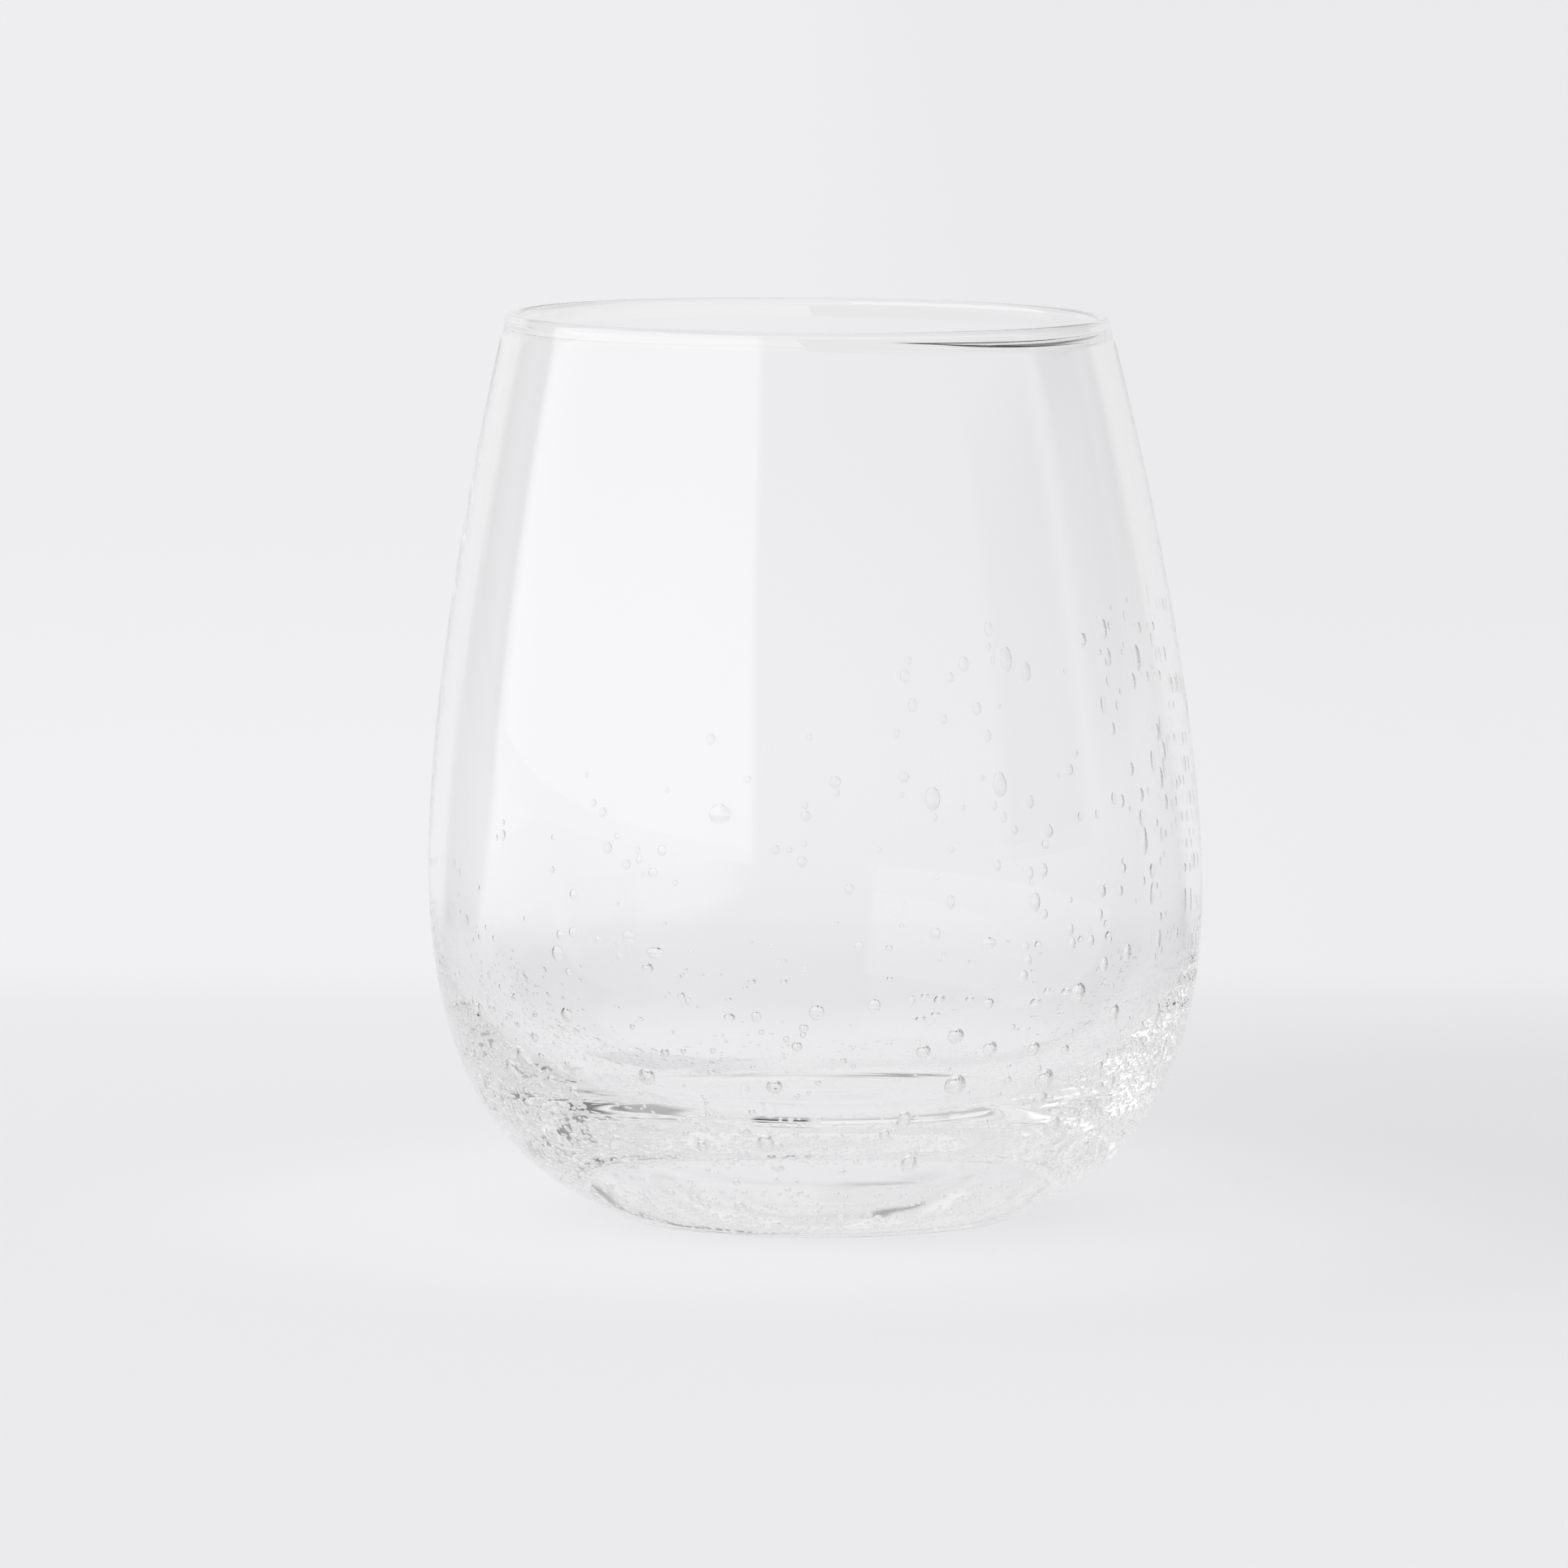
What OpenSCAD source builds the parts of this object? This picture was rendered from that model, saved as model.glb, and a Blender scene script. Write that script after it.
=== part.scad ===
// Stemless wine glass of clear blown glass with seed bubbles in its heavy base.
// Units are millimetres. The axis is Z, and the glass stands on the plane z = 0.

/* [Outline] */
// Height from the table to the top of the rim
height = 104.5; // [95:0.5:115]
// Widest diameter, at the belly
belly_d = 90; // [84:0.5:96]
// Height of the belly above the table
belly_z = 39; // [34:0.5:44]
// Outer diameter of the wall just below the rim bead
rim_d = 70; // [62:0.5:76]
// Diameter of the foot, where the heel meets the ground face
foot_d = 48; // [42:0.5:54]
// Reach of the upright run above the belly
belly_rise = 20; // [14:0.5:26]
// Reach of the upright run below the belly
belly_drop = 33.5; // [26:0.5:36]
// Reach of the straight run below the rim
rim_run = 13.5; // [8:0.5:20]
// Inward lean of the wall at the rim, in degrees
rim_lean = 15; // [8:0.5:20]
// Reach of the straight run at the start of the heel
heel_run = 3.7; // [2:0.1:6]
// Rise of the heel from the foot, in degrees
heel_angle = 42; // [30:1:55]

/* [Wall] */
// Wall thickness just below the rim bead
rim_wall = 1.4; // [1:0.1:2]
// Wall thickness at the belly
belly_wall = 2.1; // [1.6:0.1:3]
// Glass under the middle of the inside floor
base_t = 7; // [6:0.5:9]
// Reach of the level run of the inside floor
floor_run = 30; // [26:0.5:34]
// Reach of the upright run inside, below the belly
inside_drop = 24; // [20:0.5:27]
// Section diameter of the fire-polished rim bead
bead_d = 1.8; // [1.5:0.1:2.4]

/* [Foot] */
// Diameter of the hollow ground into the underside
punt_d = 36; // [28:0.5:40]
// Depth of that hollow
punt_depth = 0.6; // [0.4:0.1:0.8]
// Width of the bevel on the edge of the foot
foot_bevel = 0.5; // [0.2:0.1:1]

/* [Gathers] */
// Height at which the second gather thins out on the wall
gather_z = 80; // [70:1:86]
// Share of the thickness that the inner gather takes in the base
bowl_share = 0.2; // [0.15:0.01:0.25]
// Share of the thickness that the outer casing takes in the base
casing_share = 0.2; // [0.15:0.01:0.22]

/* [Bubbles] */
// Largest diameter of a fine seed
seed_d = 1; // [0.6:0.1:1.1]
// Largest diameter of a heel bubble
heel_bubble_d = 2; // [1.2:0.1:2]
// Largest width of a bubble stretched along the wall
wall_bubble_w = 1.2; // [0.8:0.1:1.4]
// Height of the most stretched wall bubble for each millimetre of its width
wall_stretch = 2.4; // [1.6:0.1:3]
// Rings of fine seeds
seed_rings = 5; // [3:1:7]
// Fine seeds in a ring
seed_ring_count = 12; // [8:1:20]
// Rings of heel bubbles
heel_rings = 3; // [2:1:4]
// Heel bubbles in a ring
heel_ring_count = 11; // [8:1:14]
// Rings of wall bubbles
wall_rings = 4; // [3:1:6]
// Wall bubbles in a full ring
wall_ring_count = 14; // [10:1:18]
// Start number of the scatter
scatter_seed = 7; // [1:1:99]

/* [Hidden] */
$fn = 72;

foot_r = foot_d / 2;
belly_r = belly_d / 2;
rim_r = rim_d / 2;
punt_r = punt_d / 2;
bead_r = bead_d / 2;
bead_z = height - bead_r;

// Stations run from 0 at the axis to 1 at the foot, 2 at the belly and 3 at the rim
FOOT = 1;
BELLY = 2;
RIM = 3;
floor_steps = 8;
heel_steps = 18;
wall_steps = 12;
bead_steps = 14;
punt_steps = 6;
// Part of the inside curve that lies over the flat of the foot
floor_curve_share = 0.3;
// How the inside curve keeps pace with the heel, so that stations face each other
heel_pace = 2.2;

// Control points of the outer and inner curves
outer_heel = [
    [foot_r, 0],
    [foot_r + heel_run * cos(heel_angle), heel_run * sin(heel_angle)],
    [belly_r, belly_z - belly_drop],
    [belly_r, belly_z]
];
outer_wall = [
    [belly_r, belly_z],
    [belly_r, belly_z + belly_rise],
    [rim_r + rim_run * sin(rim_lean), bead_z - rim_run * cos(rim_lean)],
    [rim_r, bead_z]
];
inner_belly_r = belly_r - belly_wall;
inner_base = [
    [0, base_t],
    [floor_run, base_t],
    [inner_belly_r, belly_z - inside_drop],
    [inner_belly_r, belly_z]
];
inner_wall = [
    [inner_belly_r, belly_z],
    [inner_belly_r, belly_z + belly_rise],
    [outer_wall[2][0] - rim_wall, outer_wall[2][1]],
    [rim_r - rim_wall, bead_z]
];

function bezier(p, t) =
    pow(1 - t, 3) * p[0] + 3 * pow(1 - t, 2) * t * p[1]
    + 3 * (1 - t) * t * t * p[2] + pow(t, 3) * p[3];

// Point of the outer surface at a station
function outer_at(s) =
    s <= FOOT ? [foot_r * s, 0]
    : s <= BELLY ? bezier(outer_heel, s - FOOT)
    : bezier(outer_wall, s - BELLY);

// Point of the inner surface at a station
function inner_at(s) =
    s <= FOOT ? bezier(inner_base, floor_curve_share * s)
    : s <= BELLY ? bezier(inner_base, floor_curve_share + (1 - floor_curve_share) * pow(s - FOOT, heel_pace))
    : bezier(inner_wall, s - BELLY);

// Point at a share of the way through the glass, from the inside out
function through(s, share) = inner_at(s) * (1 - share) + outer_at(s) * share;
function thickness(s) = norm(outer_at(s) - inner_at(s));

// Station on the wall at the height where the second gather ends, found by halving
function wall_station(z, low, high, rounds) =
    let (middle = (low + high) / 2)
    rounds == 0 ? middle
    : outer_at(middle)[1] < z ? wall_station(z, middle, high, rounds - 1)
    : wall_station(z, low, middle, rounds - 1);
halvings = 20;
gather_end = wall_station(gather_z, BELLY, RIM, halvings);

// Share at which a layer's face lies: level in the base, then rising to the outer surface
thinning_power = 2;
function thinning(s) = s <= BELLY ? 0 : pow((s - BELLY) / (gather_end - BELLY), thinning_power);
function bowl_face_share(s) = bowl_share + (1 - bowl_share) * thinning(s);
function casing_face_share(s) = 1 - casing_share * (1 - thinning(s));
function layer_share(s) = (bowl_face_share(s) + casing_face_share(s)) / 2;
function layer_middle(s) = through(s, layer_share(s));
function layer_t(s) = (casing_face_share(s) - bowl_face_share(s)) * thickness(s);

floor_stations = [for (i = [0:floor_steps - 1]) FOOT * i / floor_steps];
heel_stations = [for (i = [0:heel_steps - 1]) FOOT + (BELLY - FOOT) * i / heel_steps];
gather_stations = [for (i = [0:wall_steps - 1]) BELLY + (gather_end - BELLY) * i / wall_steps];
upper_stations = [for (i = [0:wall_steps - 1]) gather_end + (RIM - gather_end) * i / wall_steps];
base_stations = concat(floor_stations, heel_stations, gather_stations);
all_stations = concat(base_stations, upper_stations);

function reversed(list) = [for (i = [len(list) - 1:-1:0]) list[i]];
bowl_face = [for (s = base_stations) through(s, bowl_face_share(s))];
casing_face = [for (s = base_stations) through(s, casing_face_share(s))];
gather_edge = outer_at(gather_end);

// Scatter numbers from 0 to 1, one row of three for each bubble of a group
function scatter(count, group) =
    let (values = rands(0, 1, 3 * count, scatter_seed + group))
    [for (i = [0:count - 1]) [values[3 * i], values[3 * i + 1], values[3 * i + 2]]];
// How far a bubble may stray from the middle of its cell
stray_share = 0.6;
function cell(index, count, chance) = (index + 1 / 2 + stray_share * (chance - 1 / 2)) / count;

// Bubbles are rows of [station, share through the glass, azimuth, size from 0 to 1]
seed_stations = [0.85, 1.9];
seed_depth_shares = [0.3, 0.72];
seed_room_share = 0.055;
seed_total = seed_rings * seed_ring_count;
fine_seed_rows = [
    for (layer = [0:len(seed_depth_shares) - 1])
        let (chances = scatter(seed_total, layer))
        for (ring = [0:seed_rings - 1])
            for (place = [0:seed_ring_count - 1])
                let (chance = chances[ring * seed_ring_count + place])
                [
                    seed_stations[0] + (seed_stations[1] - seed_stations[0]) * cell(ring, seed_rings, chance[0]),
                    seed_depth_shares[layer],
                    360 * cell(place, seed_ring_count, chance[1]),
                    chance[2]
                ]
];

heel_bubble_stations = [0.9, 1.75];
heel_depth_share = 0.51;
heel_room_share = 0.1;
heel_group = 11;
heel_chances = scatter(heel_rings * heel_ring_count, heel_group);
heel_bubble_rows = [
    for (ring = [0:heel_rings - 1])
        for (place = [0:heel_ring_count - 1])
            let (chance = heel_chances[ring * heel_ring_count + place])
            [
                heel_bubble_stations[0]
                    + (heel_bubble_stations[1] - heel_bubble_stations[0]) * cell(ring, heel_rings, chance[0]),
                heel_depth_share,
                360 * cell(place, heel_ring_count, chance[1]),
                chance[2]
            ]
];

// Wall bubbles climb highest on the +X side, where the gather was drawn out most
wall_group = 23;
wall_room_share = 0.3;
climb_low_share = 0.35;
climb_high_share = 0.7;
wall_chances = scatter(wall_rings * wall_ring_count, wall_group);
function climb_share(azimuth) =
    climb_low_share + (climb_high_share - climb_low_share) * (1 + cos(azimuth)) / 2;
wall_bubble_rows = [
    for (ring = [0:wall_rings - 1])
        for (place = [0:wall_ring_count - 1])
            let (
                chance = wall_chances[ring * wall_ring_count + place],
                rise_share = climb_high_share * cell(ring, wall_rings, chance[0]),
                station = BELLY + (gather_end - BELLY) * rise_share,
                azimuth = 360 * cell(place, wall_ring_count, chance[1])
            )
            if (rise_share < climb_share(azimuth))
                [station, layer_share(station), azimuth, chance[2]]
];

// Size of a bubble: a chance between a least share and the full size, limited by the room it has
least_size_share = 0.45;
function chance_size(size, chance) = size * (least_size_share + (1 - least_size_share) * chance);
function round_r(row, size, room_share) =
    min(chance_size(size, row[3]) / 2, room_share * thickness(row[0]));
function stretched_r(row) = min(chance_size(wall_bubble_w, row[3]) / 2, wall_room_share * layer_t(row[0]));

module at_place(row) {
    spot = through(row[0], row[1]);
    rotate([0, 0, row[2]])
        translate([spot[0], 0, spot[1]])
            children();
}

module round_bubbles(rows, size, room_share) {
    for (row = rows)
        at_place(row)
            sphere(r = round_r(row, size, room_share));
}

// Small step along the wall that gives its slope
slope_step = 0.01;
least_stretch = 1.1;
module stretched_bubbles(rows) {
    for (row = rows) {
        run = layer_middle(row[0] + slope_step) - layer_middle(row[0]);
        half_w = stretched_r(row);
        at_place(row)
            rotate([0, atan2(run[0], run[1]), 0])
                drawn_bubble(half_w, half_w * max(least_stretch, chance_size(wall_stretch, row[3])));
    }
}

// Bubble drawn out along the wall: two round ends and the straight run between them
module drawn_bubble(half_w, half_h) {
    straight = half_h - half_w;
    rotate_extrude()
        intersection() {
            union() {
                translate([0, straight])
                    circle(r = half_w);
                translate([0, -straight])
                    circle(r = half_w);
                translate([0, -straight])
                    square([half_w, 2 * straight]);
            }
            translate([0, -half_h])
                square([half_w, 2 * half_h]);
        }
}

module all_bubbles() {
    round_bubbles(fine_seed_rows, seed_d, seed_room_share);
    round_bubbles(heel_bubble_rows, heel_bubble_d, heel_room_share);
    stretched_bubbles(wall_bubble_rows);
}

// First gather: the blown bowl with the whole inside, the upper wall and the rim
module bowl() {
    bead_middle = [rim_r - rim_wall / 2, bead_z];
    neck_angle = acos(min(1, rim_wall / bead_d));
    bead = [
        for (i = [0:bead_steps])
            let (turn = rim_lean + 180 + neck_angle - (180 + 2 * neck_angle) * i / bead_steps)
            bead_middle + bead_r * [cos(turn), sin(turn)]
    ];
    inside = [
        for (s = all_stations)
            if (norm(inner_at(s) - bead_middle) > bead_d)
                inner_at(s)
    ];
    upper_outside = [
        for (s = upper_stations)
            if (norm(outer_at(s) - bead_middle) > bead_d)
                outer_at(s)
    ];
    color("aliceblue", 0.35)
        rotate_extrude()
            polygon(concat(inside, bead, reversed(upper_outside), reversed(bowl_face)));
}

// Seeded glass between the gathers, with a cavity round each bubble
module seed_layer() {
    color("lightsteelblue", 0.35)
        difference() {
            rotate_extrude()
                polygon(concat(bowl_face, [gather_edge], reversed(casing_face)));
            all_bubbles();
        }
}

// Second gather: the clear casing, with the heel, the bevelled foot and its hollow underside
module casing() {
    punt = [
        for (i = [0:punt_steps])
            let (share = i / punt_steps)
            [punt_r * share, punt_depth * (1 - share * share)]
    ];
    bevel = [[foot_r - foot_bevel, 0]];
    heel = [for (s = concat(heel_stations, gather_stations)) if (outer_at(s)[1] > foot_bevel / 2) outer_at(s)];
    color("azure", 0.35)
        rotate_extrude()
            polygon(concat(punt, bevel, heel, [gather_edge], reversed(casing_face)));
}

// Trapped air: fine seeds in two sheets of the base
module fine_seeds() {
    color("white")
        round_bubbles(fine_seed_rows, seed_d, seed_room_share);
}

// Trapped air: larger round bubbles in the heel
module heel_bubbles() {
    color("white")
        round_bubbles(heel_bubble_rows, heel_bubble_d, heel_room_share);
}

// Trapped air: bubbles drawn out with the wall
module wall_bubbles() {
    color("white")
        stretched_bubbles(wall_bubble_rows);
}

bowl();
seed_layer();
casing();
fine_seeds();
heel_bubbles();
wall_bubbles();
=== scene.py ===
"""Stemless wine glass of clear blown glass with seed bubbles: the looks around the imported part."""

import itertools
import math
import random

import bmesh
import bpy
import numpy as np
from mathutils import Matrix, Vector, noise


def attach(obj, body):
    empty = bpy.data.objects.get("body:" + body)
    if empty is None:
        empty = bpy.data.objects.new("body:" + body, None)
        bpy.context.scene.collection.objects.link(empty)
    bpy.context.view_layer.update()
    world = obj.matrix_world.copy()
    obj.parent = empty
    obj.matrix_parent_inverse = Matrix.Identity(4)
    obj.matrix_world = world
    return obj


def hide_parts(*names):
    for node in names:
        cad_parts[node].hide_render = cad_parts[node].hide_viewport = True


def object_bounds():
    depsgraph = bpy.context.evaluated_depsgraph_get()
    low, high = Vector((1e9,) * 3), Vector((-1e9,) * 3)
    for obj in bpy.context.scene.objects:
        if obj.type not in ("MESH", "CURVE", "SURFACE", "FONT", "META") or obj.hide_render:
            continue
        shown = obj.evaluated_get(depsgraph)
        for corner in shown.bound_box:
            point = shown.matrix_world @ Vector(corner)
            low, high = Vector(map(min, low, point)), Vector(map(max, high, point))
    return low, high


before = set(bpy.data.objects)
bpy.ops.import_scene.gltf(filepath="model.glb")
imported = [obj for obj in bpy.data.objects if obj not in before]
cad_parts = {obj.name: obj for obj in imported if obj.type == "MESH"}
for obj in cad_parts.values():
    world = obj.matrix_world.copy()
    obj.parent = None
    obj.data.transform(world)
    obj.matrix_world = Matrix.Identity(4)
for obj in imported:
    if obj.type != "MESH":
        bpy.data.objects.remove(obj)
cad_low, cad_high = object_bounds()

MM = 0.001
FULL_TURN = 2 * math.pi
FULL_TURN_DEG = 360
HEIGHT = cad_high.z
BELLY_R = (cad_high.x - cad_low.x) / 2

# Outline of the glass, the same curves as the solids have
FOOT_R = 24 * MM
RIM_R = 35 * MM
BELLY_Z = 39 * MM
BELLY_RISE = 20 * MM
BELLY_DROP = 33.5 * MM
RIM_RUN = 13.5 * MM
RIM_LEAN = math.radians(15)
HEEL_RUN = 3.7 * MM
HEEL_ANGLE = math.radians(42)
RIM_WALL = 1.4 * MM
BELLY_WALL = 2.1 * MM
BASE_T = 7 * MM
FLOOR_RUN = 30 * MM
INSIDE_DROP = 24 * MM
BEAD_R = 0.74 * MM
BEAD_Z = HEIGHT - BEAD_R
PUNT_R = 18 * MM
PUNT_DEPTH = 0.25 * MM
FOOT_BEVEL = 0.5 * MM
FLOOR_CURVE_SHARE = 0.3
HEEL_PACE = 2.2
FOOT, BELLY, RIM = 1, 2, 3
MIDDLE_SHARE = 0.5

# The bead of the rim is heavier towards the front right, and the walls stop clear of it, by so many radii
BEAD_SWELL = 0.24 * MM
HEAVY_SIDE = math.radians(-40)
HEAVY_NARROW = 8
BEAD_CLEARANCE = 1.45

# Rings of the shell on each stretch of its section, and points on each ring
FLOOR_RINGS = 40
HEEL_RINGS = 64
WALL_RINGS = 42
BEAD_STEPS = 24
UNDERSIDE_RINGS = 64
RING_POINTS = 480
AXIS_R = 1e-7
SHARP_ANGLE = math.radians(70)

# Hand of the maker: the axis leans to the left, and the rim slopes down to the right
LEAN = 0.0142
RIM_SLOPE = 0.0081

# Waves that blowing, turning and shearing leave in the skins: height, length along and length round
SLOW_WAVE = (0.006 * MM, 26 * MM, 34 * MM)
RING_WAVE = (0.035 * MM, 3.5 * MM, 30 * MM)
PUNT_WAVE = (0.025 * MM, 2.4 * MM, 26 * MM)
# Where each skin starts in the noise
INSIDE_SHIFT, RING_SHIFT, OUTSIDE_SHIFT, PUNT_SHIFT = 7, 13, 19, 31
# Distances over which waves set in: below the rim, above the foot, in from its edge, below the rings' top
RIM_CALM = (2 * MM, 10 * MM)
FOOT_CALM = (1 * MM, 9 * MM)
PUNT_CALM = (1 * MM, 4 * MM)
RING_TOP = 26 * MM
RING_CALM = (0, 12 * MM)
INSIDE, RIM_BEAD, OUTSIDE, UNDERSIDE = range(4)

# Camera, from the outline of the glass in the photograph
FRAME_PX = 1932
FOCAL_PX = 14025
SENSOR_MM = 36
CAMERA_PLACE = Vector((0, -1.316, 0.183))
CAMERA_PITCH = math.radians(5.776)
CAMERA_TURN = math.radians(0.183)
CAMERA_NEAR, CAMERA_FAR = 0.01, 50


def bezier(p, t):
    """Point of a cubic curve in the (radius, height) plane."""
    u = 1 - t
    weights = (u**3, 3 * u * u * t, 3 * u * t * t, t**3)
    return tuple(sum(w * q[i] for w, q in zip(weights, p)) for i in (0, 1))


OUTER_HEEL = (
    (FOOT_R, 0),
    (FOOT_R + HEEL_RUN * math.cos(HEEL_ANGLE), HEEL_RUN * math.sin(HEEL_ANGLE)),
    (BELLY_R, BELLY_Z - BELLY_DROP),
    (BELLY_R, BELLY_Z),
)
RIM_PULL = (RIM_R + RIM_RUN * math.sin(RIM_LEAN), BEAD_Z - RIM_RUN * math.cos(RIM_LEAN))
OUTER_WALL = ((BELLY_R, BELLY_Z), (BELLY_R, BELLY_Z + BELLY_RISE), RIM_PULL, (RIM_R, BEAD_Z))
INNER_BELLY_R = BELLY_R - BELLY_WALL
INNER_BASE = (
    (0, BASE_T),
    (FLOOR_RUN, BASE_T),
    (INNER_BELLY_R, BELLY_Z - INSIDE_DROP),
    (INNER_BELLY_R, BELLY_Z),
)
INNER_WALL = (
    (INNER_BELLY_R, BELLY_Z),
    (INNER_BELLY_R, BELLY_Z + BELLY_RISE),
    (RIM_PULL[0] - RIM_WALL, RIM_PULL[1]),
    (RIM_R - RIM_WALL, BEAD_Z),
)


def outer_at(s):
    """Point of the outer surface at a station: 0 the axis, 1 the foot, 2 the belly, 3 the rim."""
    if s <= FOOT:
        return (FOOT_R * s, 0)
    if s <= BELLY:
        return bezier(OUTER_HEEL, s - FOOT)
    return bezier(OUTER_WALL, s - BELLY)


def inner_at(s):
    """Point of the inner surface that faces the outer one at a station."""
    if s <= FOOT:
        return bezier(INNER_BASE, FLOOR_CURVE_SHARE * s)
    if s <= BELLY:
        return bezier(INNER_BASE, FLOOR_CURVE_SHARE + (1 - FLOOR_CURVE_SHARE) * (s - FOOT) ** HEEL_PACE)
    return bezier(INNER_WALL, s - BELLY)


def through(s, share):
    """Point at a share of the way through the glass, from the inside out."""
    a = inner_at(s)
    b = outer_at(s)
    return (a[0] + (b[0] - a[0]) * share, a[1] + (b[1] - a[1]) * share)


def thickness(s):
    return math.dist(inner_at(s), outer_at(s))


def by_hand(p):
    """Leans a point as the hand-made glass leans."""
    rise = max(0.0, p[2] / HEIGHT)
    return (p[0] - LEAN * p[2], p[1], p[2] - RIM_SLOPE * p[0] * rise * rise)


def fade(value, start, end):
    """0 before start, 1 after end, smooth between."""
    t = min(1.0, max(0.0, (value - start) / (end - start)))
    return t * t * (3 - 2 * t)


def spaced(start, end, count):
    return [start + (end - start) * i / count for i in range(count)]


def wave_noise(wave, r, azimuth, run, shift):
    height, along, across = wave
    q = Vector((r * math.cos(azimuth) / across, r * math.sin(azimuth) / across, run / along + shift))
    return height * noise.noise(q)


def wave(skin, r, z, azimuth, run):
    """How far a skin stands out at a point, in its normal's direction."""
    if skin == UNDERSIDE:
        return fade(FOOT_R - r, *PUNT_CALM) * wave_noise(PUNT_WAVE, r, azimuth, r, PUNT_SHIFT)
    below_rim = fade(HEIGHT - z, *RIM_CALM)
    if skin == INSIDE:
        slow = below_rim * wave_noise(SLOW_WAVE, r, azimuth, run, INSIDE_SHIFT)
        return slow + fade(RING_TOP - z, *RING_CALM) * wave_noise(RING_WAVE, r, azimuth, run, RING_SHIFT)
    return below_rim * fade(z, *FOOT_CALM) * wave_noise(SLOW_WAVE, r, azimuth, run, OUTSIDE_SHIFT)


def bead_at(step, azimuth):
    """Point of the bead at a step from its inside over its top to its outside."""
    radius = BEAD_R + BEAD_SWELL * max(0.0, math.cos(azimuth - HEAVY_SIDE)) ** HEAVY_NARROW
    neck = math.acos(RIM_WALL / (2 * radius))
    turn = RIM_LEAN + math.pi + neck - (math.pi + 2 * neck) * step / BEAD_STEPS
    return (RIM_R - RIM_WALL / 2 + radius * math.cos(turn), HEIGHT - radius + radius * math.sin(turn))


def profile():
    """Section of the glass from the inside floor over the rim to the middle of the underside."""
    clear = BEAD_CLEARANCE * (BEAD_R + BEAD_SWELL)
    middle = (RIM_R - RIM_WALL / 2, BEAD_Z)
    heel_stations = spaced(FOOT, BELLY, HEEL_RINGS)
    wall_stations = spaced(BELLY, RIM, WALL_RINGS)
    inside = [inner_at(s) for s in spaced(0, FOOT, FLOOR_RINGS) + heel_stations + wall_stations]
    inside = [(*p, INSIDE) for p in inside if math.dist(p, middle) > clear]
    bead = [(*bead_at(step, HEAVY_SIDE + math.pi), RIM_BEAD) for step in range(BEAD_STEPS + 1)]
    outside = [outer_at(s) for s in wall_stations]
    outside = [(*p, OUTSIDE) for p in outside if math.dist(p, middle) > clear]
    heel = [outer_at(s) for s in heel_stations]
    heel = [(*p, OUTSIDE) for p in heel if p[1] > FOOT_BEVEL / 2]
    under = []
    for r in spaced(FOOT_R - FOOT_BEVEL, 0, UNDERSIDE_RINGS) + [0]:
        under.append((r, PUNT_DEPTH * max(0.0, 1 - (r / PUNT_R) ** 2), UNDERSIDE))
    return inside + bead + outside[::-1] + heel[::-1] + under


def glass_mesh():
    """One closed shell of the glass, turned from its section, waved and leant by hand."""
    section = profile()
    last = len(section) - 1
    bm = bmesh.new()
    rings = []
    run = 0.0
    bead_start = [skin for _, _, skin in section].index(RIM_BEAD)
    for i, (r, z, skin) in enumerate(section):
        before = section[max(0, i - 1)]
        after = section[min(last, i + 1)]
        run += math.dist((r, z), before[:2])
        step = (after[0] - before[0], after[1] - before[1])
        size = math.hypot(*step)
        normal = (-step[1] / size, step[0] / size)
        ring = []
        for k in range(RING_POINTS if r > AXIS_R else 1):
            a = FULL_TURN * k / RING_POINTS
            if skin == RIM_BEAD:
                wide, high = bead_at(i - bead_start, a)
            else:
                out = wave(skin, r, z, a, run)
                wide = max(0.0, r + normal[0] * out) if r > AXIS_R else 0.0
                high = z + normal[1] * out
            ring.append(bm.verts.new(by_hand((wide * math.cos(a), wide * math.sin(a), high))))
        rings.append(ring)
    for low, high in zip(rings, rings[1:]):
        for k in range(RING_POINTS):
            n = (k + 1) % RING_POINTS
            if len(low) == 1:
                bm.faces.new((low[0], high[k], high[n]))
            elif len(high) == 1:
                bm.faces.new((low[k], high[0], low[n]))
            else:
                bm.faces.new((low[k], high[k], high[n], low[n]))
    bmesh.ops.recalc_face_normals(bm, faces=bm.faces)
    mesh = bpy.data.meshes.new("glass")
    bm.to_mesh(mesh)
    bm.free()
    mesh.shade_smooth()
    mesh.set_sharp_from_angle(angle=SHARP_ANGLE)
    return mesh


class Scatter:
    """Bubbles that never touch each other, kept in a coarse grid."""

    CELL = 3.6 * MM

    def __init__(self):
        self.grid = {}

    def key(self, p):
        return tuple(int(math.floor(c / self.CELL)) for c in p)

    def add(self, p, reach):
        home = self.key(p)
        for shift in itertools.product((-1, 0, 1), repeat=3):
            cell = tuple(c + d for c, d in zip(home, shift))
            for q, other in self.grid.get(cell, ()):
                if math.dist(p, q) < reach + other:
                    return False
        self.grid.setdefault(home, []).append((p, reach))
        return True


scatter = Scatter()
# Share of the glass beside a bubble that it may fill, and the least half depth of a bubble
ROOM_SHARE = 0.72
LEAST_BUBBLE = 0.04 * MM
# Step in stations over which a slope is taken
SLOPE_STEP = 0.01
# The blown wall is thin, and flattens what it holds: by this share, from one height to another
FLATTENED_SHARE = 0.84
FLATTENED_FROM, FLATTENED_TO = 10 * MM, 36 * MM
# Height that bubbles reach up the wall on the left, and half of what the right has more
CLIMB_LEFT = 44 * MM
CLIMB_SWELL = 14 * MM
STATION_HALVINGS = 24


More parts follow.
